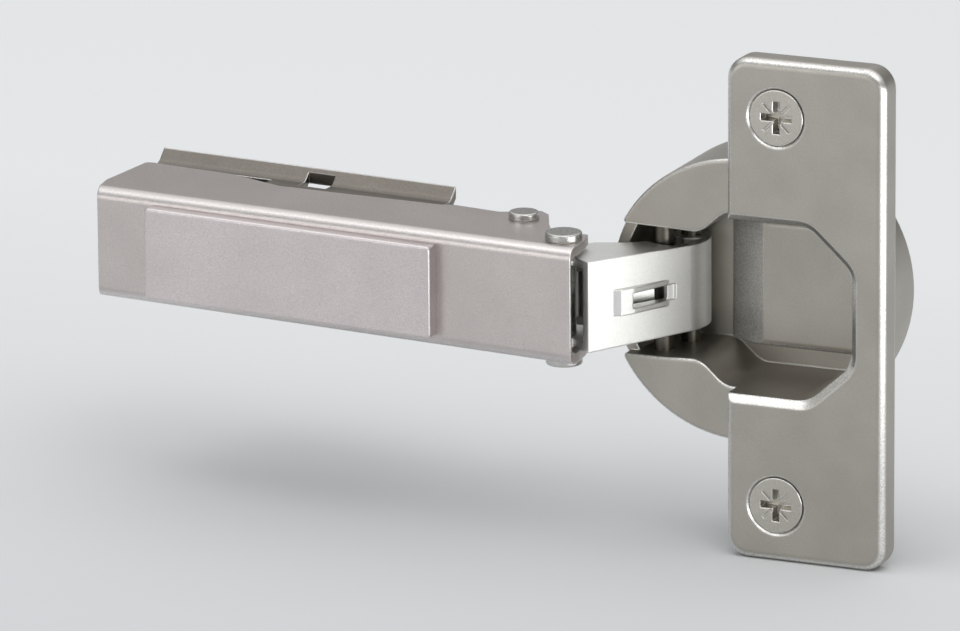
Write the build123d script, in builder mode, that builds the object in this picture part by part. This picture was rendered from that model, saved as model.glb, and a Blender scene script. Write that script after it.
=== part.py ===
from build123d import *
from math import cos, sin, radians, degrees, atan2, hypot
import os

os.makedirs("parts", exist_ok=True)

# Concealed cabinet hinge with a 35 mm cup, drawn open.
# The origin is the cup's axis on the door's inner face.  +Z runs up along the hinge pins,
# +Y goes into the door, and the arm reaches out towards -X.  Sizes are in millimetres.

# Cup
cup_d = 35.0  # bored hole in the door
cup_depth = 12.8  # door face to the outside of the floor
cup_wall = 1.4
cup_floor = 1.1
cup_edge = 0.4  # rounding on the shoulder's rim
mouth_half = 8.2  # half height of the gap that the links pass through
mouth_depth = 2.0  # how far the wall is cut down under the links
throat_half = 7.9  # the shoulders lean in a little behind the mouth
throat_x = -5.2
pocket_half = 10.8
pocket_x = -2.0  # where the pocket reaches its full height
shoulder_curve = 3.0
shoulder_lip = 0.35
pad_depth = 8.8  # raised floor, which the folded arm's nose stays clear of
pad_half = 8.0
pad_edge = 0.9
pad_slope_x = -0.6  # the pad falls away from here towards the pins
pad_start_x = -5.6

# Flange, cast in one with the cup
flange_left = -0.5
flange_right = 20.0
flange_height = 62.0
flange_proud = 3.4  # how far it stands off the door
flange_corner = 2.8
flange_edge = 1.05
window_half = 11.7  # opening over the pocket, at the flange's face
window_right = 16.4
window_right_half = 6.2
window_top_end = 10.3  # x where the long sides turn into the slanted corners
window_corner = 4.0
window_lip = 0.9  # sloping rim of the opening
flange_core = 2.1  # depth of the hollow in the flange's back
flange_rim = 1.6
boss_r = 5.6

# Flange screws
screw_spacing = 48.0
screw_x = 6.0
screw_head_r = 3.4
screw_head_rim = 0.2
screw_shank_r = 1.75
screw_length = 15.0
screw_neck_r = 1.5  # plain neck, above the thread
screw_neck_end = 0.8  # beyond the door's face
screw_hole_r = 2.1
screw_sunk = 0.1  # head below the flange's face
screw_seat_gap = 0.07
drive_r = 2.0
drive_slot = 0.9
drive_depth = 1.7
tick_r = 2.35  # four shallow strokes between the arms of the cross
tick_width = 0.35
tick_depth = 0.3

# Pivots of the four-bar linkage at rest, seen along the pins
pin_fit = 0.05  # running clearance on the radius
press_gap = 0.01
cup_pin_r = 1.2
outer_pivot = (-9.9, 8.4)  # outer link in the cup
inner_pivot = (-11.5, 3.7)  # inner link in the cup
cup_pin_seat = 2.4  # length of pin held in each shoulder
arm_pin_r = 1.5
arm_pivot_front = (3.05, 4.1)  # outer link in the arm: along the arm, then in from its face
arm_pivot_rear = (12.1, 10.7)  # inner link in the arm

# How far each piece turns between the drawn pose and the closed door
door_swing = 95.0
outer_turn = 84.0
inner_turn = 109.5

# Hinge arm, a folded channel.  Its own axes run back from the mouth and in from its face.
mouth_x = -17.5
mouth_y = -10.9
arm_lean = 5.0  # degrees between the arm's face and the door
arm_length = 65.9
arm_sheet = 1.2
arm_half_front = 7.25
arm_half_rear = 6.95
arm_bend = 1.4  # outside radius of the folded edges
front_head_r = 2.25
front_head = 0.95
rear_head_r = 1.85
rear_head = 0.85
ear_r = 3.15

# Outer link, a folded channel with a rolled eye
link_x = -15.58
link_y = -9.82
link_angle = 58.4
link_flat = 15.1
link_sheet = 1.1
link_half_arm = 5.7
link_half_cup = 5.25
link_eye_r = 2.45
link_depth = 7.4
lug_start = 3.6  # lanced stop lug: distance from the web's end
lug_length = 8.3
lug_half = 1.6
lug_proud = 0.7
lug_window = 5.8
lug_window_half = 0.95

# Inner link, two cheeks joined by a web
inner_sheet = 1.0
inner_half = 3.85
inner_band = 3.7
inner_neck_y = -2.6  # level at which it passes over the door's edge
inner_neck_x = -23.4
inner_drop_x = -17.0
inner_eye = 0.9  # wall round the cup pin
inner_slot_wall = 1.15
open_pivot_gap = 0.42  # clearance all round the pin in the slotted eye

# Closing spring, a hairpin leaf
leaf = 0.8
leaf_half = 3.2
leaf_start = 14.0
leaf_end = 23.0
leaf_tip = 8.8
leaf_tip_depth = 5.2
leaf_mid = 3.6
rivet_r = 1.3
rivet_head_r = 1.75
rivet_head = 0.6
rivet_s = 21.2

# Cover cap
cap_start = 18.3
cap_end = 58.2
cap_half = 5.75
cap_thick = 1.9
cap_wall = 0.9
cap_corner = 0.5
cap_leg = 1.1
cap_leg_width = 2.2
cap_leg_depth = 3.2
cap_barb = 0.35
slide_gap = 0.1  # gap between flat pieces that slide on each other

# Adjusting gear between the arm and its adapter
block_start = 40.5
block_end = 53.5
block_front = 1.5
block_half = 4.9
block_crown = 0.35  # its front face rocks on the arm
cam_s = 47.0
cam_r = 3.5
cam_head_r = 3.3
cam_offset = 2.2
cam_pin_r = 1.2
cam_slot_gap = 0.2
depth_travel = 1.9
overlay_s = 28.6
overlay_r = 3.0
overlay_hole_gap = 0.45
overlay_neck_r = 1.7
overlay_collar_r = 2.8
overlay_collar = 0.9
overlay_collar_gap = 0.25

# Adapter that clips on the mounting plate
adapter_start = 23.6
adapter_side_start = 26.7  # its sides begin here, behind the web's fork
adapter_end = 68.2
adapter_web = 6.7  # depth of its web behind the arm's face
adapter_sheet = 1.0
adapter_half = 5.55
adapter_depth = 18.6
adapter_flare = 48.0
adapter_flare_length = 2.2
adapter_window_s = 43.4
adapter_window = 3.8
adapter_notch_s = 51.5  # opening in each side, ahead of the lever's hooks
adapter_notch = 5.5
adapter_notch_depth = 15.4
clip_pin_s = 30.0
clip_pin_depth = 12.2
clip_pin_r = 1.25

# Release lever at the arm's rear
lever_pin_s = 55.0
lever_pin_depth = 11.3
lever_pin_r = 1.1
lever_sheet = 1.0
lever_half = 4.1
lever_hook_reach = 4.6
lever_tail = 69.0
coil_wire = 0.35
coil_turns = 4


# Directions of the arm, and its two working planes
arm_rear = Vector(-cos(radians(arm_lean)), sin(radians(arm_lean)), 0)
arm_in = Vector(sin(radians(arm_lean)), cos(radians(arm_lean)), 0)
mouth = Vector(mouth_x, mouth_y, 0)
arm_side = Plane(origin=mouth, x_dir=arm_rear, z_dir=(0, 0, -1))


def arm_point(along, depth, height=0.0):
    """A point of the arm: along it, in from its face, and up."""
    return mouth + arm_rear * along + arm_in * depth + Vector(0, 0, height)


def arm_face(depth):
    """The plane parallel to the arm's face at this depth, looking in."""
    return Plane(origin=arm_point(0, depth), x_dir=arm_rear, z_dir=arm_in)


# The outer link's plane, from the free end of its web towards the cup
link_along = Vector(cos(radians(link_angle)), sin(radians(link_angle)), 0)
link_back = Vector(-sin(radians(link_angle)), cos(radians(link_angle)), 0)
link_origin = Vector(link_x, link_y, 0)
link_side = Plane(origin=link_origin, x_dir=link_along, z_dir=(0, 0, 1))
link_face = Plane(origin=link_origin, x_dir=link_along, z_dir=link_back)


def in_link(point):
    """Coordinates of a point in the outer link's plane."""
    step = point - link_origin
    return step.dot(link_along), step.dot(link_back)


front_pin = arm_point(*arm_pivot_front)
rear_pin = arm_point(*arm_pivot_rear)
outer_pin = Vector(*outer_pivot, 0)
inner_pin = Vector(*inner_pivot, 0)


def turned(vector, angle):
    """A vector turned about the pins' direction."""
    return vector.rotate(Axis.Z, angle)


def pin_in_slot(part_closed):
    """Where the arm's rear pin stands in the inner link when the door is partly closed."""
    front_now = outer_pin + turned(front_pin - outer_pin, outer_turn * part_closed)
    rear_now = front_now + turned(rear_pin - front_pin, door_swing * part_closed)
    return inner_pin + turned(rear_now - inner_pin, -inner_turn * part_closed)


# Cup and flange, one casting
cup_r = cup_d / 2
inside_r = cup_r - cup_wall
floor_y = cup_depth - cup_floor
face_y = -flange_proud
flange_mid = (flange_left + flange_right) / 2
flange_width = flange_right - flange_left
front_plane = Plane.XZ.offset(flange_proud)
door_plane = Plane.XZ

with BuildSketch(front_plane) as window_outline:
    with BuildLine():
        Polyline(
            (flange_left - 1, window_half),
            (window_top_end, window_half),
            (window_right, window_right_half),
            (window_right, -window_right_half),
            (window_top_end, -window_half),
            (flange_left - 1, -window_half),
            close=True,
        )
    make_face()
    fillet(window_outline.vertices().group_by(Axis.X)[1:], radius=window_corner)

with BuildSketch(front_plane) as pocket_outline:
    with BuildLine():
        Polyline(
            (-cup_r, mouth_half),
            (throat_x, throat_half),
            (pocket_x, pocket_half),
            (window_top_end - window_lip / 2, pocket_half),
            (window_right - window_lip, window_right_half - window_lip / 2),
            (window_right - window_lip, -window_right_half + window_lip / 2),
            (window_top_end - window_lip / 2, -pocket_half),
            (pocket_x, -pocket_half),
            (throat_x, -throat_half),
            (-cup_r, -mouth_half),
            close=True,
        )
    make_face()
    fillet(pocket_outline.vertices().group_by(Axis.X)[3:], radius=window_corner - window_lip / 2)
    fillet(pocket_outline.vertices().group_by(Axis.X)[1:3], radius=shoulder_curve)

with BuildPart() as hinge_cup:
    with BuildSketch(door_plane):
        Circle(cup_r)
    extrude(amount=-cup_depth)
    fillet(hinge_cup.edges().filter_by(GeomType.CIRCLE), radius=cup_edge)
    with BuildSketch(front_plane):
        with Locations((flange_mid, 0)):
            RectangleRounded(flange_width, flange_height, flange_corner)
    extrude(amount=-flange_proud)
    fillet(hinge_cup.faces().sort_by(Axis.Y)[0].edges(), radius=flange_edge)
    # Hollow back of the flange, with a rim all round, one round the cup and a boss at each screw
    with BuildSketch(door_plane):
        with Locations((flange_mid, 0)):
            RectangleRounded(
                flange_width - 2 * flange_rim,
                flange_height - 2 * flange_rim,
                flange_corner - flange_rim,
            )
        Circle(cup_r + flange_rim, mode=Mode.SUBTRACT)
        with Locations((screw_x, screw_spacing / 2), (screw_x, -screw_spacing / 2)):
            Circle(boss_r, mode=Mode.SUBTRACT)
    extrude(amount=flange_core, mode=Mode.SUBTRACT)
    # Opening in the flange and the pocket below it
    add(extrude(window_outline.sketch, amount=-window_lip, taper=45), mode=Mode.SUBTRACT)
    with BuildSketch(front_plane):
        add(pocket_outline.sketch)
        Circle(inside_r, mode=Mode.INTERSECT)
    extrude(amount=-(flange_proud + floor_y), mode=Mode.SUBTRACT)
    with BuildSketch(Plane.XZ.offset(-mouth_depth)):
        Polygon((-cup_r, mouth_half), (throat_x, throat_half), (throat_x, -throat_half),
                (-cup_r, -mouth_half), align=None)
    extrude(amount=2 * mouth_depth, mode=Mode.SUBTRACT)
    # Rounded lips on the shoulders beside the mouth
    fillet(
        hinge_cup.edges().filter_by(
            lambda e: abs(e.center().Y) < 0.01
            and e.center().X < flange_left - 0.3
            and hypot(e.center().X, e.center().Z) < cup_r - 2 * cup_edge
            and abs(e.center().Z) > throat_half - 0.5
        ),
        radius=shoulder_lip,
    )
    # Raised floor, sloping down to the outer link's eye
    with BuildSketch(Plane.XY):
        with BuildLine():
            Polyline(
                (pad_start_x, floor_y),
                (pad_start_x, floor_y - 0.1),
                (pad_slope_x, pad_depth),
                (window_right - window_lip, pad_depth),
                (window_right - window_lip, floor_y),
                close=True,
            )
        make_face()
    extrude(amount=pad_half, both=True)
    fillet(
        hinge_cup.faces()
        .filter_by(lambda f: abs(f.center().Y - pad_depth) < 0.01)
        .edges()
        .filter_by(lambda e: abs(abs(e.center().Z) - pad_half) < 0.01),
        radius=pad_edge,
    )
    # Screw holes
    with Locations(
        Plane(origin=(screw_x, face_y, screw_spacing / 2), x_dir=(1, 0, 0), z_dir=(0, -1, 0)),
        Plane(origin=(screw_x, face_y, -screw_spacing / 2), x_dir=(1, 0, 0), z_dir=(0, -1, 0)),
    ):
        CounterSinkHole(screw_hole_r, screw_head_r + screw_sunk + screw_head_rim + screw_seat_gap,
                        depth=flange_proud, counter_sink_angle=90)
    # Bores for the two pins, drilled in from the top
    with BuildSketch(Plane.XY.offset(-throat_half - cup_pin_seat - 0.4)):
        with Locations(outer_pivot, inner_pivot):
            Circle(cup_pin_r + press_gap)
    extrude(amount=2 * cup_r, mode=Mode.SUBTRACT)

hinge_cup.part.label = "hinge_cup"
export_step(hinge_cup.part, "parts/hinge_cup.step")


# Flange screws: countersunk head with a cross recess, neck, plain shank and point
screw_top = face_y + screw_sunk
head_cone = screw_head_r - screw_neck_r
neck_step = screw_shank_r - screw_neck_r
with BuildPart() as flange_screws:
    for side in (1, -1):
        with BuildSketch(Plane.XY.offset(side * screw_spacing / 2)):
            with BuildLine():
                Polyline(
                    (screw_x, screw_top),
                    (screw_x + screw_head_r, screw_top),
                    (screw_x + screw_head_r, screw_top + screw_head_rim),
                    (screw_x + screw_neck_r, screw_top + screw_head_rim + head_cone),
                    (screw_x + screw_neck_r, screw_neck_end),
                    (screw_x + screw_shank_r, screw_neck_end + neck_step),
                    (screw_x + screw_shank_r, screw_top + screw_length - 2 * screw_shank_r),
                    (screw_x, screw_top + screw_length),
                    close=True,
                )
            make_face()
        revolve(axis=Axis((screw_x, 0, side * screw_spacing / 2), (0, 1, 0)))
        head_face = Plane(origin=(screw_x, screw_top, side * screw_spacing / 2),
                          x_dir=(1, 0, 0), z_dir=(0, -1, 0))
        with BuildSketch(head_face):
            Rectangle(2 * drive_r, drive_slot)
            Rectangle(drive_slot, 2 * drive_r)
        extrude(amount=-drive_depth, mode=Mode.SUBTRACT)
        with BuildSketch(head_face):
            Rectangle(2 * tick_r, tick_width, rotation=45)
            Rectangle(2 * tick_r, tick_width, rotation=-45)
        extrude(amount=-tick_depth, mode=Mode.SUBTRACT)

flange_screws.part.label = "flange_screws"
export_step(flange_screws.part, "parts/flange_screws.step")


# Pins across the cup, pushed in from the top
pin_bottom = -throat_half - cup_pin_seat
pin_top = throat_half + 1.5 * cup_pin_seat
for name, place in (("cup_pin_front", outer_pivot), ("cup_pin_rear", inner_pivot)):
    with BuildPart() as cup_pin:
        with BuildSketch(Plane.XY.offset(pin_bottom)):
            with Locations(place):
                Circle(cup_pin_r)
        extrude(amount=pin_top - pin_bottom)
        chamfer(cup_pin.edges().filter_by(GeomType.CIRCLE), length=0.2)
    cup_pin.part.label = name
    export_step(cup_pin.part, f"parts/{name}.step")


# Outer link: web, bend and rolled eye in one profile, with two flanges to the arm's pin
eye_x, eye_y = in_link(outer_pin)
pin_x, pin_y = in_link(front_pin)
bore_r = cup_pin_r + pin_fit
eye_r = bore_r + link_sheet
bend_r = ((eye_x - link_flat) ** 2 + eye_y**2 - eye_r**2) / (2 * (eye_y - eye_r))
bend_end = degrees(atan2(eye_y - bend_r, eye_x - link_flat))
link_cup_end = eye_x + eye_r
inner_x, inner_y = in_link(inner_pin)
pin_sweep = hypot(inner_x - eye_x, inner_y - eye_y) + cup_pin_r + 0.35


def tapered(start, end, half_start, half_end):
    """A face outline that narrows evenly, in the current sketch."""
    Polygon((start, half_start), (start, -half_start), (end, -half_end), (end, half_end),
            align=None)


with BuildSketch(link_side) as link_strip:
    with BuildLine():
        Line((0, 0), (link_flat, 0))
        CenterArc((link_flat, bend_r), bend_r, -90, 90 + bend_end)
        Line((link_flat, bend_r) + Vector(bend_r, 0).rotate(Axis.Z, bend_end),
             (link_flat, bend_r) + Vector(bend_r - link_sheet, 0).rotate(Axis.Z, bend_end))
        CenterArc((link_flat, bend_r), bend_r - link_sheet, -90, 90 + bend_end)
        Line((link_flat, link_sheet), (0, link_sheet))
        Line((0, link_sheet), (0, 0))
    make_face()
    with Locations((eye_x, eye_y)):
        Circle(eye_r)
        Circle(bore_r, mode=Mode.SUBTRACT)

with BuildPart() as outer_link:
    with BuildSketch(link_side):
        with BuildLine():
            Polyline(
                (0, 0),
                (link_flat, 0),
                (link_flat, 3.6),
                (9.3, 5.4),
                (6.2, link_depth),
                (pin_x, pin_y + link_eye_r),
                (0, pin_y),
                close=True,
            )
        make_face()
        with Locations((pin_x, pin_y)):
            Circle(link_eye_r)
        with Locations((eye_x, eye_y)):
            Circle(pin_sweep, mode=Mode.SUBTRACT)
    extrude(amount=link_half_arm, both=True)
    # Hollow the flanges' block, then lay the strip across it and trim both to the taper
    with BuildSketch(link_face.offset(link_sheet)):
        tapered(-4, link_flat, link_half_arm - link_sheet, link_half_cup - link_sheet)
    extrude(amount=12, mode=Mode.SUBTRACT)
    add(extrude(link_strip.sketch, amount=link_half_arm, both=True))
    with BuildSketch(link_face):
        tapered(-4, link_cup_end + 1, link_half_arm, link_half_cup)
    extrude(amount=14, mode=Mode.INTERSECT)
    with BuildSketch(link_side):
        with Locations((pin_x, pin_y)):
            Circle(arm_pin_r + pin_fit)
    extrude(amount=link_half_arm + 1, both=True, mode=Mode.SUBTRACT)
    # Lanced lug: a window with a raised bridge of metal at the arm's side
    with BuildSketch(link_face):
        with Locations((lug_start + lug_length - lug_window / 2, 0)):
            RectangleRounded(lug_window, 2 * lug_window_half, 0.3)
    extrude(amount=link_sheet, mode=Mode.SUBTRACT)
    with BuildSketch(link_side):
        with BuildLine():
            Polyline(
                (lug_start, 0),
                (lug_start + 0.8, -lug_proud),
                (lug_start + lug_length - lug_window + 0.2, -lug_proud),
                (lug_start + lug_length, 0),
                (lug_start + lug_length, 0.3),
                (lug_start, 0.3),
                close=True,
            )
        make_face()
    extrude(amount=lug_half, both=True)
    with BuildSketch(link_face.offset(-lug_proud - 0.1)):
        with Locations((lug_start + lug_length - lug_window / 2 + 0.5, 0)):
            Rectangle(lug_window + 1, 2 * lug_window_half)
    extrude(amount=lug_proud + 0.5, mode=Mode.SUBTRACT)

outer_link.part.label = "outer_link"
export_step(outer_link.part, "parts/outer_link.step")


# Inner link: two cheeks and a web, curved over the door's edge
def stadium(start, end, width):
    """A round-ended bar from one point to another, in the current sketch."""
    middle = (start + end) * 0.5
    step = end - start
    with Locations((middle.X, middle.Y)):
        SlotCenterToCenter(step.length, width, rotation=degrees(atan2(step.Y, step.X)))


neck = Vector(inner_neck_x, inner_neck_y, 0)
drop = Vector(inner_drop_x, inner_neck_y, 0)
inner_path = [rear_pin, neck, drop, inner_pin]
slot_near = pin_in_slot(0.45)
slot_far = pin_in_slot(1.0)
slot_width = 2 * (arm_pin_r + open_pivot_gap)
inner_eye_r = cup_pin_r + pin_fit + inner_eye
with BuildPart() as inner_link:
    with BuildSketch(Plane.XY):
        for start, end in zip(inner_path, inner_path[1:]):
            stadium(start, end, inner_band)
        with Locations(inner_pivot):
            Circle(inner_eye_r)
        stadium(slot_near, slot_far, slot_width + 2 * inner_slot_wall)
    extrude(amount=inner_half, both=True)
    # Hollow between the cheeks, leaving a web along the front edge
    with BuildSketch(Plane.XY):
        for start, end in zip(inner_path, inner_path[1:]):
            back = turned((end - start).normalized(), 90) * (inner_sheet + inner_band / 2)
            stadium(start + back, end + back, 2 * inner_band)
        with Locations(inner_pivot):
            Circle(inner_eye_r + 0.6)
        stadium(slot_near, slot_far, slot_width + 2 * inner_slot_wall + 1.6)
    extrude(amount=inner_half - inner_sheet, both=True, mode=Mode.SUBTRACT)
    with BuildSketch(Plane.XY):
        with Locations(inner_pivot):
            Circle(cup_pin_r + pin_fit)
        stadium(slot_near, slot_far, slot_width)
    extrude(amount=inner_half + 1, both=True, mode=Mode.SUBTRACT)

inner_link.part.label = "inner_link"
export_step(inner_link.part, "parts/inner_link.step")


# Hinge arm
front_s, front_n = arm_pivot_front
rear_s, rear_n = arm_pivot_rear
channel_half = arm_half_rear - arm_sheet  # inside the channel at its narrow end
cap_length = cap_end - cap_start
cap_middle = (cap_start + cap_end) / 2
leg_s = cap_length / 2 - cap_leg_width
leg_z = cap_half - cap_wall - cap_leg / 2


with BuildPart() as hinge_arm:
    with BuildSketch(arm_side) as arm_profile:
        with BuildLine():
            Polyline(
                (0, 0),
                (0.2, 2.6),
                (0.7, front_n + 1.0),
                (front_s - 1.7, front_n + ear_r),
                (front_s + 3.4, front_n + ear_r),
                (rear_s - 4.2, rear_n - 1.3),
                (rear_s - 1.9, rear_n + 2.8),
                (rear_s - 0.2, rear_n + ear_r + 0.8),
                (rear_s + 2.6, rear_n + 2.1),
                (16.2, 12.0),
                (22.7, 12.4),
                (24.0, 11.8),
                (38.0, 11.1),
                (46.4, 10.8),
                (54.3, 13.2),
                (arm_length + 0.4, 13.7),
                (arm_length + 3.1, 12.3),
                (arm_length, 0),
                close=True,
            )
        make_face()
        fillet(arm_profile.vertices().filter_by(lambda v: v.Y > 2), radius=0.5)
    extrude(amount=12, both=True)
    with BuildSketch(arm_face(0)):
        tapered(0, arm_length + 1, arm_half_front, arm_half_rear)
    extrude(amount=20, mode=Mode.INTERSECT)
    long_edges = hinge_arm.edges().filter_by(
        lambda e: abs((e.center() - mouth).dot(arm_in)) < 0.01 and e.length > arm_length / 2
    )
    fillet(long_edges, radius=arm_bend)
    with BuildSketch(arm_face(arm_sheet)):
        tapered(0, arm_length + 1, arm_half_front - arm_sheet, arm_half_rear - arm_sheet)
    extrude(amount=20, mode=Mode.SUBTRACT)
    # Bevel inside the mouth, where the outer link's web folds past
    with BuildSketch(arm_side):
        with BuildLine():
            Polyline((-1, 1.3), (-1, 0.4), (0, 0.4), (1.0, arm_sheet), (1.0, 1.3), close=True)
        make_face()
    extrude(amount=channel_half, both=True, mode=Mode.SUBTRACT)
    # Pin holes
    with BuildSketch(arm_side):
        with Locations(arm_pivot_front, arm_pivot_rear):
            Circle(arm_pin_r + press_gap)
    extrude(amount=12, both=True, mode=Mode.SUBTRACT)
    # Holes in the face, under the cover cap
    with BuildSketch(arm_face(0)):
        with Locations((overlay_s, 0)):
            Circle(overlay_r + overlay_hole_gap)
        with Locations((cam_s, 0)):
            Circle(cam_head_r - 0.5)
        with Locations((rivet_s, 0)):
            Circle(rivet_r + press_gap)
        with Locations((cap_middle, 0)):
            with GridLocations(2 * leg_s, 2 * leg_z, 2, 2):
                Rectangle(cap_leg_width + 2 * slide_gap, cap_leg + 2 * slide_gap)
    extrude(amount=arm_sheet, mode=Mode.SUBTRACT)

hinge_arm.part.label = "hinge_arm"
export_step(hinge_arm.part, "parts/hinge_arm.step")


# Riveted pins through the arm
def half_height(along):
    """Outside half height of the arm at this distance from its mouth."""
    return arm_half_front + (arm_half_rear - arm_half_front) * along / arm_length


for name, place, head_r, head in (
    ("arm_pin_front", arm_pivot_front, front_head_r, front_head),
    ("arm_pin_rear", arm_pivot_rear, rear_head_r, rear_head),
):
    half = half_height(place[0])
    with BuildPart() as arm_pin:
        with BuildSketch(arm_side):
            with Locations(place):
                Circle(arm_pin_r)
        extrude(amount=half + 0.1, both=True)
        for side in (1, -1):
            with BuildSketch(Plane(origin=arm_point(*place, side * (half + 0.03)),
                                   x_dir=arm_rear, z_dir=(0, 0, side))):
                Circle(head_r)
            extrude(amount=head)
        rims = arm_pin.edges().filter_by(GeomType.CIRCLE)
        fillet(rims.group_by(Axis.Z)[-1] + rims.group_by(Axis.Z)[0], radius=0.25)
    arm_pin.part.label = name
    export_step(arm_pin.part, f"parts/{name}.step")


# Closing spring: a leaf folded back on itself, its free end under the inner link
leaf_depth = arm_sheet
with BuildPart() as closing_spring:
    with BuildSketch(arm_side):
        with BuildLine():
            low = Line((leaf_start, leaf_depth), (leaf_end, leaf_depth))
            bend = CenterArc((leaf_end, leaf_depth + leaf_mid / 2), leaf_mid / 2, -90, 180)
            high = Line((leaf_end, leaf_depth + leaf_mid), (leaf_tip, leaf_tip_depth))
            Line((leaf_tip, leaf_tip_depth), (leaf_tip, leaf_tip_depth - leaf))
            Line((leaf_tip, leaf_tip_depth - leaf), (leaf_end, leaf_depth + leaf_mid - leaf))
            CenterArc((leaf_end, leaf_depth + leaf_mid / 2), leaf_mid / 2 - leaf, -90, 180)
            Line((leaf_end, leaf_depth + leaf), (leaf_start, leaf_depth + leaf))
            Line((leaf_start, leaf_depth + leaf), (leaf_start, leaf_depth))
        make_face()
    extrude(amount=leaf_half, both=True)
    with BuildSketch(arm_face(leaf_depth)):
        with Locations((rivet_s, 0)):
            Circle(rivet_r + press_gap)
    extrude(amount=leaf, mode=Mode.SUBTRACT)

closing_spring.part.label = "closing_spring"
export_step(closing_spring.part, "parts/closing_spring.step")


# Rivet that holds the spring, its heads flat
rivet_inside = leaf_depth + leaf
with BuildPart() as spring_rivet:
    with BuildSketch(arm_face(-rivet_head / 2)):
        with Locations((rivet_s, 0)):
            Circle(rivet_r)
    extrude(amount=rivet_inside + rivet_head)
    with BuildSketch(arm_face(-rivet_head)):
        with Locations((rivet_s, 0)):
            Circle(rivet_head_r)
    extrude(amount=rivet_head)
    with BuildSketch(arm_face(rivet_inside)):
        with Locations((rivet_s, 0)):
            Circle(rivet_head_r)
    extrude(amount=rivet_head)

spring_rivet.part.label = "spring_rivet"
export_step(spring_rivet.part, "parts/spring_rivet.step")


# Cover cap: a shallow lid with four snap legs through the arm's face
with BuildPart() as cover_cap:
    with BuildSketch(arm_face(-cap_thick)):
        with Locations((cap_middle, 0)):
            RectangleRounded(cap_length, 2 * cap_half, cap_corner)
    extrude(amount=cap_thick)
    fillet(
        cover_cap.edges().filter_by(
            lambda e: abs((e.center() - mouth).dot(arm_in) + cap_thick) < 0.01
        ),
        radius=0.3,
    )
    with BuildSketch(arm_face(0)):
        with Locations((cap_middle, 0)):
            Rectangle(cap_length - 2 * cap_wall, 2 * (cap_half - cap_wall))
    extrude(amount=-(cap_thick - cap_wall), mode=Mode.SUBTRACT)
    for along in (-leg_s, leg_s):
        for up in (-leg_z, leg_z):
            with BuildSketch(arm_face(-cap_thick + cap_wall / 2)):
                with Locations((cap_middle + along, up)):
                    Rectangle(cap_leg_width, cap_leg)
            extrude(amount=cap_thick + cap_leg_depth - cap_wall / 2)
            barb = cap_barb if up > 0 else -cap_barb
            with BuildSketch(arm_face(arm_sheet + 0.1)):
                with Locations((cap_middle + along, up + barb)):
                    Rectangle(cap_leg_width, cap_leg)
            extrude(amount=cap_leg_depth - arm_sheet - 0.1, taper=12)

cover_cap.part.label = "cover_cap"
export_step(cover_cap.part, "parts/cover_cap.step")


# Guide block: its crowned front rocks on the arm, the adapter slides on its back
block_back = adapter_web - slide_gap
block_length = block_end - block_start
with BuildPart() as guide_block:
    with BuildSketch(arm_side):
        with BuildLine():
            Polyline((block_end, block_front + block_crown), (block_end, block_back),
                     (block_start, block_back), (block_start, block_front + block_crown))
            ThreePointArc((block_start, block_front + block_crown),
                          ((block_start + block_end) / 2, block_front),
                          (block_end, block_front + block_crown))
        make_face()
    extrude(amount=block_half, both=True)
    with BuildSketch(arm_face(0)):
        with Locations((cam_s, 0)):
            Circle(cam_r + pin_fit)
    extrude(amount=adapter_web, mode=Mode.SUBTRACT)
    fillet(guide_block.edges().filter_by(lambda e: abs(e.length - (block_back - block_front
                                                                   - block_crown)) < 0.01), radius=1.0)

guide_block.part.label = "guide_block"
export_step(guide_block.part, "parts/guide_block.step")


# Depth cam: a disc with a cross slot for the driver and an off-centre pin behind
web_back = adapter_web + adapter_sheet
with BuildPart() as depth_cam:
    with BuildSketch(arm_face(block_front + 0.15)):
        with Locations((cam_s, 0)):
            Circle(cam_r)
    extrude(amount=block_back - block_front - 0.3)
    with BuildSketch(arm_face(block_back - 1)):
        with Locations((cam_s, cam_offset)):
            Circle(cam_pin_r)
    extrude(amount=web_back - block_back + 1.6)
    with BuildSketch(arm_face(block_front)):
        with Locations((cam_s, 0)):
            Rectangle(3.6, 1.0)
            Rectangle(1.0, 3.6)
    extrude(amount=2, mode=Mode.SUBTRACT)

depth_cam.part.label = "depth_cam"
export_step(depth_cam.part, "parts/depth_cam.step")


# Overlay screw: threaded head end in the arm's hole, a neck and a collar behind the web
neck_start = adapter_web - 0.7
collar_start = web_back + overlay_collar_gap
with BuildPart() as overlay_screw:
    for radius, depth_from, depth_to in (
        (overlay_r, 0.0, neck_start),
        (overlay_neck_r, neck_start - 0.1, collar_start + 0.1),
        (overlay_collar_r, collar_start, collar_start + overlay_collar),
    ):
        with BuildSketch(arm_face(depth_from)):
            with Locations((overlay_s, 0)):
                Circle(radius)
        extrude(amount=depth_to - depth_from)
    with BuildSketch(arm_face(-0.1)):
        with Locations((overlay_s, 0)):
            Rectangle(3.6, 1.0)
            Rectangle(1.0, 3.6)
    extrude(amount=2, mode=Mode.SUBTRACT)

overlay_screw.part.label = "overlay_screw"
export_step(overlay_screw.part, "parts/overlay_screw.step")


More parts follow.
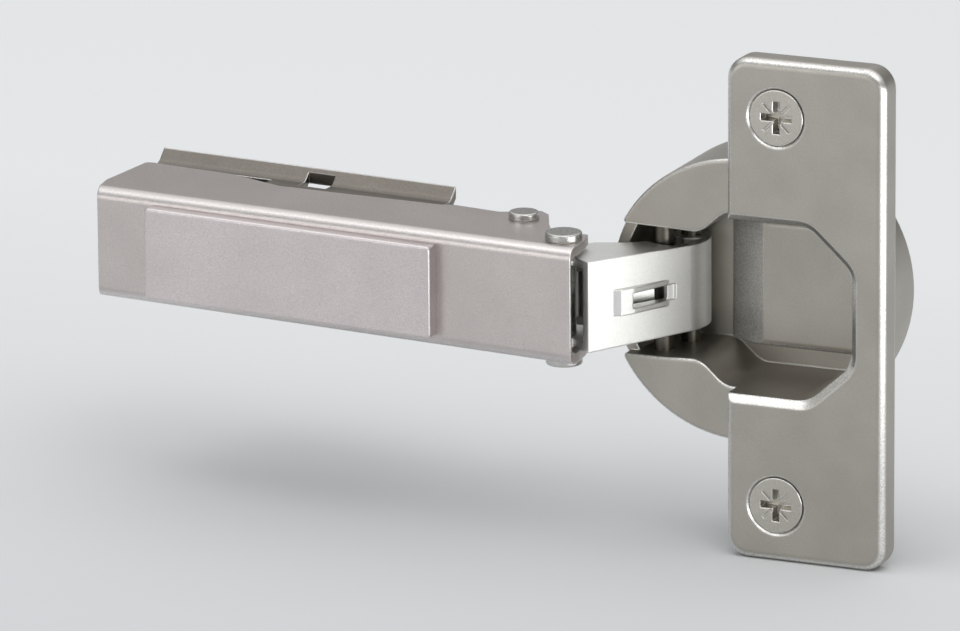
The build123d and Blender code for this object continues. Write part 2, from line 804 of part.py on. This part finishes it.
# Adapter: a channel with flared edges, cut from one bent sheet
adapter_length = adapter_end - adapter_start
flare_out = adapter_flare_length * sin(radians(adapter_flare))
flare_in = adapter_flare_length * cos(radians(adapter_flare))
flare_skin = adapter_sheet / cos(radians(adapter_flare))
half_in = adapter_half - adapter_sheet
adapter_section = Plane(origin=arm_point(adapter_start, 0), x_dir=(0, 0, 1), z_dir=arm_rear)
into_arm = -1 if adapter_section.y_dir.dot(arm_in) < 0 else 1
with BuildPart() as adapter:
    with BuildSketch(adapter_section):
        with BuildLine():
            Polyline(*[
                (x, into_arm * n)
                for x, n in (
                    (adapter_half, adapter_web),
                    (adapter_half, adapter_depth),
                    (adapter_half + flare_out, adapter_depth + flare_in),
                    (adapter_half + flare_out - flare_skin, adapter_depth + flare_in),
                    (half_in, adapter_depth + 0.35),
                    (half_in, web_back),
                    (-half_in, web_back),
                    (-half_in, adapter_depth + 0.35),
                    (-adapter_half - flare_out + flare_skin, adapter_depth + flare_in),
                    (-adapter_half - flare_out, adapter_depth + flare_in),
                    (-adapter_half, adapter_depth),
                    (-adapter_half, adapter_web),
                )
            ], close=True)
        make_face()
    extrude(amount=adapter_length)
    long_bends = adapter.edges().filter_by(lambda e: e.length > adapter_length - 0.1)
    fillet(
        long_bends.filter_by(lambda e: abs((e.center() - mouth).dot(arm_in) - adapter_web) < 0.01),
        radius=0.9,
    )
    fillet(
        long_bends.filter_by(
            lambda e: abs((e.center() - mouth).dot(arm_in) - adapter_depth) < 0.01
            and abs(abs(e.center().Z) - adapter_half) < 0.01
        ),
        radius=1.3,
    )
    # The web runs on as a fork ahead of the sides
    with BuildSketch(arm_side):
        with Locations(((adapter_start + adapter_side_start) / 2 - 1, adapter_depth)):
            Rectangle(adapter_side_start - adapter_start + 2, 2 * (adapter_depth - web_back))
    extrude(amount=adapter_half + flare_out + 1, both=True, mode=Mode.SUBTRACT)
    # Slots in the web: along the arm for the overlay screw, across it for the cam's pin
    with BuildSketch(arm_face(adapter_web)):
        with Locations((overlay_s, 0)):
            SlotCenterToCenter(2 * depth_travel + 0.4, 2 * overlay_neck_r + 0.6)
        with Locations((cam_s, 0)):
            SlotCenterToCenter(2 * cam_offset + 0.6, 2 * (cam_pin_r + cam_slot_gap), rotation=90)
    extrude(amount=adapter_sheet, mode=Mode.SUBTRACT)
    # Windows at the upper and lower bends
    with BuildSketch(arm_side):
        with Locations((adapter_window_s + adapter_window / 2, adapter_depth - 0.3)):
            Rectangle(adapter_window, 2.6)
        with Locations((adapter_notch_s + adapter_notch / 2, adapter_notch_depth + 1.2)):
            Rectangle(adapter_notch, 2.4)
    extrude(amount=adapter_half + flare_out, both=True, mode=Mode.SUBTRACT)
    # Holes for the clip pin and the lever's pin
    with BuildSketch(arm_side):
        with Locations((clip_pin_s, clip_pin_depth)):
            Circle(clip_pin_r + press_gap)
        with Locations((lever_pin_s, lever_pin_depth)):
            Circle(lever_pin_r + press_gap)
    extrude(amount=adapter_half + 1, both=True, mode=Mode.SUBTRACT)

adapter.part.label = "adapter"
export_step(adapter.part, "parts/adapter.step")


# Clip pin at the adapter's front and the lever's pin at its rear
for name, place, radius in (
    ("clip_pin", (clip_pin_s, clip_pin_depth), clip_pin_r),
    ("lever_pin", (lever_pin_s, lever_pin_depth), lever_pin_r),
):
    with BuildPart() as cross_pin:
        with BuildSketch(arm_side):
            with Locations(place):
                Circle(radius)
        extrude(amount=adapter_half + 0.1, both=True)
        chamfer(cross_pin.edges().filter_by(GeomType.CIRCLE), length=0.15)
    cross_pin.part.label = name
    export_step(cross_pin.part, f"parts/{name}.step")


# Release lever: two cheeks with hooks, tied by a web and a thumb tab at the rear
pivot_s, pivot_n = lever_pin_s, lever_pin_depth
with BuildPart() as release_lever:
    with BuildSketch(arm_side):
        with BuildLine():
            Polyline(
                (pivot_s - 2.4, pivot_n - 1.6),
                (lever_tail, pivot_n - 1.6),
                (lever_tail, pivot_n + 0.2),
                (pivot_s + 3.0, pivot_n + 1.6),
                (pivot_s - 0.6, pivot_n + lever_hook_reach),
                (pivot_s - 3.4, pivot_n + lever_hook_reach - 0.8),
                (pivot_s - 1.8, pivot_n + lever_hook_reach - 2.0),
                (pivot_s - 2.4, pivot_n + 0.6),
                close=True,
            )
        make_face()
    extrude(amount=lever_half, both=True)
    with BuildSketch(arm_face(pivot_n - 1.6 + lever_sheet)):
        with Locations(((pivot_s + lever_tail) / 2, 0)):
            Rectangle(lever_tail - pivot_s + 10, 2 * (lever_half - lever_sheet))
    extrude(amount=9, mode=Mode.SUBTRACT)
    with BuildSketch(arm_face(pivot_n - 2)):
        with Locations((pivot_s - 0.6, 0)):
            Rectangle(6.4, 2 * (lever_half - lever_sheet))
    extrude(amount=4, mode=Mode.SUBTRACT)
    with BuildSketch(arm_side):
        with Locations((pivot_s, pivot_n)):
            Circle(lever_pin_r + pin_fit)
    extrude(amount=lever_half + 1, both=True, mode=Mode.SUBTRACT)

release_lever.part.label = "release_lever"
export_step(release_lever.part, "parts/release_lever.step")


# Lever spring: close-wound coil on the lever's pin with two straight legs
coil_r = lever_pin_r + 0.15 + coil_wire
coil_pitch = 1.8 * coil_wire
coil_plane = Plane(origin=arm_point(pivot_s, pivot_n), x_dir=arm_rear, z_dir=-arm_in)
with BuildPart() as lever_spring:
    with BuildSketch(coil_plane):
        for turn in range(coil_turns):
            with Locations((coil_r, (turn - (coil_turns - 1) / 2) * coil_pitch)):
                Circle(coil_wire)
    revolve(axis=Axis(arm_point(pivot_s, pivot_n), (0, 0, 1)))
    for height, along, run in (((coil_turns - 1) / 2 * coil_pitch, coil_r, 3.2),
                               (-(coil_turns - 1) / 2 * coil_pitch, -coil_r, 2.4)):
        with BuildSketch(arm_face(pivot_n)):
            with Locations((pivot_s + along, height)):
                Circle(coil_wire * 0.98)
        extrude(amount=-run)

lever_spring.part.label = "lever_spring"
export_step(lever_spring.part, "parts/lever_spring.step")
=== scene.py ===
import math

import bpy
from mathutils import Matrix, Vector


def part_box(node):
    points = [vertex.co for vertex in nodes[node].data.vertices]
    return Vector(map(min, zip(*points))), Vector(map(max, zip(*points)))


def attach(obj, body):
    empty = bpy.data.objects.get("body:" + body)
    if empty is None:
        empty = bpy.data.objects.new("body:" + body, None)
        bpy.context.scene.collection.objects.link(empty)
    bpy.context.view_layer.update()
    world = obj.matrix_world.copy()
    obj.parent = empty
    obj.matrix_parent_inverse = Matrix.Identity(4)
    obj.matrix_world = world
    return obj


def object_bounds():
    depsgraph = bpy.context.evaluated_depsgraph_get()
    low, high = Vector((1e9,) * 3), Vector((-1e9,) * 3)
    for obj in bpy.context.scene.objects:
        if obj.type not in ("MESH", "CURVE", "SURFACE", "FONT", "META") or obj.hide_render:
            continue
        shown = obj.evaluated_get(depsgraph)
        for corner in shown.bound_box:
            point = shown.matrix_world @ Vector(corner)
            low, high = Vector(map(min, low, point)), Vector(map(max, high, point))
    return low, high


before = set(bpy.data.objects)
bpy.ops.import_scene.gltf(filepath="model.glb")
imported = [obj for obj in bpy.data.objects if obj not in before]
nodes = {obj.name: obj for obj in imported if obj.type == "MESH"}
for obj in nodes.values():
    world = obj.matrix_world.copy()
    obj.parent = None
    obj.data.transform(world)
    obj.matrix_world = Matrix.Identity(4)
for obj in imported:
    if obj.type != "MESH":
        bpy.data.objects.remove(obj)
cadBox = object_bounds()
scene = bpy.context.scene
scene.view_settings.view_transform = "Standard"
mm = 0.001
print("frame loaded:", len(nodes), "nodes")


def toLinear(hexColour):
    channels = [int(hexColour[i:i + 2], 16) / 255 for i in (1, 3, 5)]
    return [c / 12.92 if c <= 0.04045 else ((c + 0.055) / 1.055) ** 2.4 for c in channels] + [1.0]


def addNode(tree, kind, settings=None, links=None):
    node = tree.nodes.new(kind)
    for key, value in (settings or {}).items():
        if isinstance(key, str) and hasattr(node, key):
            setattr(node, key, value)
        else:
            node.inputs[key].default_value = value
    for key, socket in (links or {}).items():
        tree.links.new(socket, node.inputs[key])
    return node


def newMaterial(name):
    material = bpy.data.materials.new(name)
    material.use_nodes = True
    material.node_tree.nodes.clear()
    return material, material.node_tree


# How the tumbling barrel wears every plated piece, and where a painted highlight lightens edges and bends.
# Pairs are where an effect starts and where it is full.
wearAndPaintedHighlight = {
    "edgeFacing": (0.995, 0.80), "bendSlant": (0.03, 0.2), "glintGrain": (0.42, 0.58), "glintLeast": 0.4,
    "dullFadeMm": 0.6, "coarser": 0.4, "rubbedRoughness": 0.22, "bevelSamples": 6,
    "grainSpread": (0.35, 0.65), "roughSpreadGrain": (0.3, 0.7), "grainDetail": 3.0, "cloudDetail": 2.0,
}


# Nickel plate on steel or zinc. It mirrors softly, with a fine grain from the tumbled blanks, slight clouding
# where the plate is thicker, smoother edges where the barrel has rubbed them, and a painted highlight that
# lifts edges and slanted bends towards a near-white tint.
def nickelPlate(name, look):
    material, tree = newMaterial(name)
    place = addNode(tree, "ShaderNodeTexCoord")
    spot = place.outputs["Object"]
    grain = addNode(tree, "ShaderNodeTexNoise",
                    {"Scale": 1 / (look["grainMm"] * mm), "Detail": wearAndPaintedHighlight["grainDetail"], "Roughness": 0.6},
                    {"Vector": spot})
    cloud = addNode(tree, "ShaderNodeTexNoise",
                    {"Scale": 1 / (look["cloudMm"] * mm), "Detail": wearAndPaintedHighlight["cloudDetail"], "Roughness": 0.5},
                    {"Vector": spot})
    rounded = addNode(tree, "ShaderNodeBevel",
                      {"samples": wearAndPaintedHighlight["bevelSamples"], "Radius": look["edgeMm"] * mm})
    shape = addNode(tree, "ShaderNodeNewGeometry")
    facing = addNode(tree, "ShaderNodeVectorMath", {"operation": "DOT_PRODUCT"},
                     {0: rounded.outputs[0], 1: shape.outputs["Normal"]})
    # Painted highlight on edges: where the rounded normal turns away from the true one, the colour is lifted
    # towards the highlight tint
    edge = addNode(tree, "ShaderNodeMapRange",
                   {"From Min": wearAndPaintedHighlight["edgeFacing"][0], "From Max": wearAndPaintedHighlight["edgeFacing"][1],
                    "To Max": look["paintedEdgeHighlight"]},
                   {"Value": facing.outputs["Value"]})
    # Bends whose normal slants partway along y get a painted highlight too, more on the grain's peaks
    leaning = addNode(tree, "ShaderNodeSeparateXYZ", None, {0: place.outputs["Normal"]})
    straight = addNode(tree, "ShaderNodeMath", {"operation": "MULTIPLY"},
                       {0: leaning.outputs[1], 1: leaning.outputs[1]})
    sideways = addNode(tree, "ShaderNodeMath", {"operation": "SUBTRACT", 0: 1.0},
                       {1: straight.outputs[0]})
    slanted = addNode(tree, "ShaderNodeMath", {"operation": "MULTIPLY"},
                      {0: straight.outputs[0], 1: sideways.outputs[0]})
    bend = addNode(tree, "ShaderNodeMapRange",
                   {"From Min": wearAndPaintedHighlight["bendSlant"][0], "From Max": wearAndPaintedHighlight["bendSlant"][1],
                    "To Max": look["paintedBendHighlight"]},
                   {"Value": slanted.outputs[0]})
    sparkle = addNode(tree, "ShaderNodeMapRange",
                      {"From Min": wearAndPaintedHighlight["glintGrain"][0], "From Max": wearAndPaintedHighlight["glintGrain"][1],
                       "To Min": wearAndPaintedHighlight["glintLeast"]}, {"Value": grain.outputs[0]})
    glint = addNode(tree, "ShaderNodeMath", {"operation": "MULTIPLY"},
                    {0: bend.outputs[0], 1: sparkle.outputs[0]})
    # Deep in a casting the barrel's stones hardly reach, so the bends there stay coarse; their painted
    # highlight still keeps them pale, lifting the shade in the hollow
    layer = addNode(tree, "ShaderNodeSeparateXYZ", None, {0: spot})
    reached = addNode(tree, "ShaderNodeMapRange",
                      {"From Min": look["dullFromMm"] * mm,
                       "From Max": (look["dullFromMm"] + wearAndPaintedHighlight["dullFadeMm"]) * mm,
                       "To Min": 1.0, "To Max": 0.0}, {"Value": layer.outputs[1]})
    shallow = addNode(tree, "ShaderNodeMath", {"operation": "MULTIPLY"},
                      {0: glint.outputs[0], 1: reached.outputs[0]})
    # Painted highlight mask: edges and slanted bends, lifting the colour towards the near-white tint
    paintedHighlightMask = addNode(tree, "ShaderNodeMath", {"operation": "MAXIMUM"},
                     {0: edge.outputs[0], 1: glint.outputs[0]})
    smoothed = addNode(tree, "ShaderNodeMath", {"operation": "MAXIMUM"},
                       {0: edge.outputs[0], 1: shallow.outputs[0]})
    speck = addNode(tree, "ShaderNodeMapRange",
                    {"From Min": wearAndPaintedHighlight["grainSpread"][0], "From Max": wearAndPaintedHighlight["grainSpread"][1],
                     "To Max": look["grainTone"]},
                    {"Value": grain.outputs[0]})
    tone = addNode(tree, "ShaderNodeMapRange",
                   {"From Min": wearAndPaintedHighlight["grainSpread"][0], "From Max": wearAndPaintedHighlight["grainSpread"][1]},
                   {"Value": cloud.outputs[0]})
    base = addNode(tree, "ShaderNodeMix",
                   {"data_type": "RGBA", 6: toLinear(look["colour"]), 7: toLinear(look["cloud"])},
                   {0: tone.outputs[0]})
    grained = addNode(tree, "ShaderNodeMix", {"data_type": "RGBA", 7: toLinear(look["dark"])},
                      {0: speck.outputs[0], 6: base.outputs[2]})
    # The plate's colour with the painted highlight mixed in
    colourWithPaintedHighlight = addNode(tree, "ShaderNodeMix", {"data_type": "RGBA", 7: toLinear(look["rim"])},
                   {0: paintedHighlightMask.outputs[0], 6: grained.outputs[2]})
    dull = addNode(tree, "ShaderNodeMapRange",
                   {"From Min": wearAndPaintedHighlight["roughSpreadGrain"][0], "From Max": wearAndPaintedHighlight["roughSpreadGrain"][1],
                    "To Min": look["roughness"] - look["roughSpread"],
                    "To Max": look["roughness"] + look["roughSpread"]},
                   {"Value": grain.outputs[0]})
    deep = addNode(tree, "ShaderNodeMath", {"operation": "SUBTRACT"},
                   {0: glint.outputs[0], 1: shallow.outputs[0]})
    coarse = addNode(tree, "ShaderNodeMath", {"operation": "MULTIPLY_ADD", 1: wearAndPaintedHighlight["coarser"]},
                     {0: deep.outputs[0], 2: dull.outputs[0]})
    polish = addNode(tree, "ShaderNodeMix", {"data_type": "FLOAT", 3: wearAndPaintedHighlight["rubbedRoughness"]},
                     {0: smoothed.outputs[0], 2: coarse.outputs[0]})
    relief = addNode(tree, "ShaderNodeBump",
                     {"Strength": look["relief"], "Distance": look["reliefMm"] * mm},
                     {"Height": grain.outputs[0], "Normal": rounded.outputs[0]})
    surface = addNode(tree, "ShaderNodeBsdfPrincipled", {"Metallic": 1.0},
                      {"Base Color": colourWithPaintedHighlight.outputs[2], "Roughness": polish.outputs[0],
                       "Normal": relief.outputs[0]})
    addNode(tree, "ShaderNodeOutputMaterial", None, {"Surface": surface.outputs[0]})
    return material


def dress(material, *names):
    for name in names:
        data = nodes[name].data
        data.materials.clear()
        data.materials.append(material)


# Zinc die casting, tumbled and nickel-plated: a satin grey with faint clouds
castNickel = {
    "colour": "#B1ADA5", "cloud": "#A9A59D", "dark": "#99958D", "rim": "#FAFAF8",
    "grainMm": 0.18, "grainTone": 0.35, "cloudMm": 7.0,
    "roughness": 0.42, "roughSpread": 0.05, "relief": 0.15, "reliefMm": 0.05,
    "edgeMm": 0.35, "paintedEdgeHighlight": 1.0, "paintedBendHighlight": 0.75, "dullFromMm": 1.0,
}
castMaterial = nickelPlate("nickelPlatedZincCasting", castNickel)
dress(castMaterial, "hinge_cup", "guide_block")

# Pressed steel strip, nickel-plated: the rolled strip leaves a fine pinkish grain. The barrel reaches all of
# it, so its coarse depth lies beyond the hinge.
stripNickel = {
    "colour": "#CEC7C4", "cloud": "#C7C0BD", "dark": "#B1AAA7", "rim": "#FBFAF9",
    "grainMm": 0.18, "grainTone": 0.5, "cloudMm": 9.0,
    "roughness": 0.36, "roughSpread": 0.06, "relief": 0.32, "reliefMm": 0.06,
    "edgeMm": 0.25, "paintedEdgeHighlight": 1.0, "paintedBendHighlight": 0.5, "dullFromMm": 100.0,
}
stripMaterial = nickelPlate("nickelPlatedSteelStrip", stripNickel)
dress(stripMaterial, "hinge_arm")

# The adapter and its lever are duller and have no painted bend highlight; their colour is the arm's plate
# darkened as painted shade, so the arm stands out before them
adapterNickel = dict(stripNickel, colour="#86817A", cloud="#7E7972", dark="#6C6760", paintedBendHighlight=0.0)
adapterMaterial = nickelPlate("nickelPlatedAdapterStrip", adapterNickel)
dress(adapterMaterial, "adapter", "release_lever")

# The cap is thinner strip, a little lighter and with a livelier grain, and its edges get only a faint painted
# highlight
capNickel = dict(stripNickel, colour="#DCD4D4", cloud="#D4CCCC", dark="#BAB2B2", grainTone=0.6,
                 grainMm=0.2, relief=0.4, paintedEdgeHighlight=0.3)
capMaterial = nickelPlate("nickelPlatedCapStrip", capNickel)
dress(capMaterial, "cover_cap")

# The links are plated brighter than the rest: nearly white where they face a lamp, softly grained in the bends
linkNickel = dict(stripNickel, colour="#EFEFEC", cloud="#E9E9E6", dark="#CFCFCB", grainTone=0.25,
                  roughness=0.42, roughSpread=0.06, relief=0.35, grainMm=0.22, paintedBendHighlight=0.0)
linkMaterial = nickelPlate("nickelPlatedPolishedLink", linkNickel)
dress(linkMaterial, "outer_link", "inner_link")

# Drawn wire for pins and rivets: smooth and bright
wireNickel = dict(stripNickel, colour="#CBCAC6", cloud="#C3C2BE", dark="#AAA9A5", grainTone=0.25,
                  roughness=0.28, roughSpread=0.04, relief=0.06, grainMm=0.2, paintedBendHighlight=0.0)
wireMaterial = nickelPlate("brightDrawnWire", wireNickel)
dress(wireMaterial, "arm_pin_front", "arm_pin_rear", "spring_rivet", "clip_pin", "lever_pin")

# The cup's pins get a dark colour, painted shade where they sit between the shoulders
pinPaintedShade = dict(wireNickel, colour="#6E6A63", cloud="#625E57", dark="#4A463F", rim="#8E8A83",
                  roughness=0.34, roughSpread=0.06, cloudMm=2.0)
pinPaintedShadeMaterial = nickelPlate("drawnPinPaintedShade", pinPaintedShade)
dress(pinPaintedShadeMaterial, "cup_pin_front", "cup_pin_rear")

# Cold-headed screws, nickel-plated after rolling the thread
screwNickel = dict(wireNickel, colour="#C9C5BC", cloud="#C0BCB3", dark="#9C978D", grainTone=0.4,
                   roughness=0.3)
screwMaterial = nickelPlate("nickelPlatedScrewSteel", screwNickel)
dress(screwMaterial, "flange_screws", "depth_cam", "overlay_screw")

# Tempered spring strip and wire, only oiled: darker and a touch brown
springSteel = dict(wireNickel, colour="#8E8A84", cloud="#86827C", dark="#6C6862", rim="#C9C6C0",
                   roughness=0.34)
springMaterial = nickelPlate("temperedSpringSteel", springSteel)
dress(springMaterial, "closing_spring", "lever_spring")
print("materials on every node")


# Rolled thread: a ridge that winds round a plain shank
def threadRidge(name, foot, direction, sizes):
    direction = Vector(direction).normalized()
    side = direction.orthogonal().normalized()
    other = direction.cross(side)
    steps = sizes["stepsPerTurn"]
    turns = (sizes["end"] - sizes["start"]) / sizes["pitch"]
    count = int(turns * steps)
    runOut = sizes["runOutTurns"] * steps
    points, faces = [], []
    for i in range(count + 1):
        angle = 2 * math.pi * i / steps
        out = side * math.cos(angle) + other * math.sin(angle)
        along = sizes["start"] + sizes["pitch"] * i / steps
        fade = min(1.0, i / runOut, (count - i) / runOut)
        core = sizes["core"] * min(1.0, (sizes["tip"] - along) / (sizes["tip"] - sizes["shankEnd"]))
        root = core - sizes["sink"]
        for radius, shift in ((root, -0.5), (core + sizes["ridge"] * fade, 0.0), (root, 0.5)):
            points.append(Vector(foot) + (direction * (along + shift * sizes["base"]) + out * radius) * mm)
    for i in range(count):
        a, b = 3 * i, 3 * i + 3
        faces += [(a, a + 1, b + 1, b), (a + 1, a + 2, b + 2, b + 1), (a + 2, a, b, b + 2)]
    faces += [(0, 2, 1), (3 * count, 3 * count + 1, 3 * count + 2)]
    mesh = bpy.data.meshes.new(name)
    mesh.from_pydata(points, [], faces)
    mesh.update()
    ridge = bpy.data.objects.new(name, mesh)
    scene.collection.objects.link(ridge)
    return ridge


woodThread = {"start": 4.5, "end": 14.2, "shankEnd": 11.5, "tip": 15.0, "pitch": 1.3, "core": 1.75,
              "ridge": 0.28, "base": 0.75, "sink": 0.05, "runOutTurns": 0.6, "stepsPerTurn": 28}
screwLow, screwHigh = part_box("flange_screws")
headRadius = (screwHigh.x - screwLow.x) / 2
for end, z in (("upper", screwHigh.z - headRadius), ("lower", screwLow.z + headRadius)):
    ridge = threadRidge("flangeScrewThread_" + end, (screwLow.x + headRadius, screwLow.y, z), (0, 1, 0),
                        woodThread)
    ridge.data.materials.append(screwMaterial)
    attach(ridge, "cup")
print("threads on the flange screws")


# Studio: a pale floor, air that is dark low down and bright above, soft lamps, and a low card that fills the
# links' bright faces. A narrow pale band at the horizon is what level views see behind the floor.
studio = {
    "floorFront": "#D4D6D8", "floorRear": "#EAECED", "floorFade": (-0.07, 0.13), "floorSize": 6.0,
    "air": "#F2F2F3", "airHorizon": 0.85, "airLow": 0.26, "airHigh": 1.36,
    "horizonBand": (0.04, 0.1), "airFade": (0.38, 0.9), "floorGap": 0.02 * mm,
    "cameraTurn": 22.5, "cameraRise": 15.4, "cameraAway": 1.2, "lens": 375.0,
    "aimLeft": 31.2 * mm, "aimDown": 1.74 * mm,
}
world = bpy.data.worlds.new("studioAir")
scene.world = world
world.use_nodes = True
air = world.node_tree.nodes["Background"]
air.inputs[0].default_value = toLinear(studio["air"])
direction = addNode(world.node_tree, "ShaderNodeTexCoord")
height = addNode(world.node_tree, "ShaderNodeSeparateXYZ", None, {0: direction.outputs["Generated"]})
brighter = addNode(world.node_tree, "ShaderNodeMapRange",
                   {"From Min": studio["airFade"][0], "From Max": studio["airFade"][1],
                    "To Min": studio["airLow"], "To Max": studio["airHigh"]},
                   {"Value": height.outputs[2]})
horizon = addNode(world.node_tree, "ShaderNodeMapRange",
                  {"From Min": studio["horizonBand"][0], "From Max": studio["horizonBand"][1],
                   "To Min": studio["airHorizon"], "To Max": 0.0},
                  {"Value": height.outputs[2]})
strength = addNode(world.node_tree, "ShaderNodeMath", {"operation": "MAXIMUM"},
                   {0: brighter.outputs[0], 1: horizon.outputs[0]})
world.node_tree.links.new(strength.outputs[0], air.inputs[1])

floorMaterial, floorTree = newMaterial("paleFloor")
floorSpot = addNode(floorTree, "ShaderNodeTexCoord")
floorDepth = addNode(floorTree, "ShaderNodeSeparateXYZ", None, {0: floorSpot.outputs["Object"]})
# Painted light falloff: the floor is painted darker in front and lighter towards the back
floorFade = addNode(floorTree, "ShaderNodeMapRange",
                    {"From Min": studio["floorFade"][0], "From Max": studio["floorFade"][1]},
                    {"Value": floorDepth.outputs[1]})
floorTone = addNode(floorTree, "ShaderNodeMix",
                    {"data_type": "RGBA", 6: toLinear(studio["floorFront"]), 7: toLinear(studio["floorRear"])},
                    {0: floorFade.outputs[0]})
floorPaint = addNode(floorTree, "ShaderNodeBsdfPrincipled", {"Roughness": 0.9, "Specular IOR Level": 0.1},
                     {"Base Color": floorTone.outputs[2]})
addNode(floorTree, "ShaderNodeOutputMaterial", None, {"Surface": floorPaint.outputs[0]})
floorMesh = bpy.data.meshes.new("floor")
half = studio["floorSize"] / 2
floorHeight = cadBox[0].z - studio["floorGap"]
floorMesh.from_pydata([(-half, -half, floorHeight), (half, -half, floorHeight), (half, half, floorHeight),
                       (-half, half, floorHeight)], [], [(0, 1, 2, 3)])
floorMesh.materials.append(floorMaterial)
floor = bpy.data.objects.new("floor", floorMesh)
scene.collection.objects.link(floor)


def softLamp(name, place, aim, width, height, brightness):
    lamp = bpy.data.lights.new(name, "AREA")
    lamp.shape = "RECTANGLE"
    lamp.size, lamp.size_y = width, height
    lamp.energy = brightness * math.pi * width * height  # brightness 1 looks white in a mirror
    holder = bpy.data.objects.new(name, lamp)
    scene.collection.objects.link(holder)
    holder.location = place
    holder.rotation_euler = (Vector(aim) - Vector(place)).to_track_quat("-Z", "Y").to_euler()
    holder.visible_camera = False
    return holder


middle = (cadBox[0] + cadBox[1]) / 2
# Each lamp: where it stands, where it points, its width and height in metres, its brightness
softLamp("keyLamp", (0.35, -0.45, 0.75), middle, 0.5, 0.5, 1.6)
softLamp("topLamp", (-0.3, -0.2, 0.7), middle, 0.3, 0.3, 1.1)
softLamp("backLamp", (-0.35, 0.7, 0.55), middle, 0.6, 0.4, 0.5)
softLamp("frontLamp", (-0.36, -0.66, 0.12), middle, 0.5, 0.3, 1.8)
rightCard = softLamp("rightCard", (0.105, -0.042, 0.002), (-0.01, -0.005, 0.0), 0.12, 0.06, 3.6)
litByCard = bpy.data.collections.new("litByRightCard")  # the card is close, so it leaves the floor out
for name in nodes:
    litByCard.objects.link(nodes[name])
rightCard.light_linking.receiver_collection = litByCard

turn, rise = math.radians(studio["cameraTurn"]), math.radians(studio["cameraRise"])
back = Vector((math.sin(turn) * math.cos(rise), -math.cos(turn) * math.cos(rise), math.sin(rise)))
right = Vector((math.cos(turn), math.sin(turn), 0))
up = back.cross(right)
eye = back * studio["cameraAway"]
aim = -right * studio["aimLeft"] - up * studio["aimDown"]
camera = bpy.data.cameras.new("studioCamera")
camera.lens = studio["lens"]
camera.sensor_fit = "HORIZONTAL"
camera.clip_start, camera.clip_end = 0.05, 20
cameraHolder = bpy.data.objects.new("studioCamera", camera)
scene.collection.objects.link(cameraHolder)
gaze = (eye - aim).normalized()
across = up.cross(gaze).normalized()
level = gaze.cross(across)
cameraHolder.matrix_world = Matrix((
    (across.x, level.x, gaze.x, eye.x),
    (across.y, level.y, gaze.y, eye.y),
    (across.z, level.z, gaze.z, eye.z),
    (0, 0, 0, 1)))
scene.camera = cameraHolder
print("studio and camera ready")
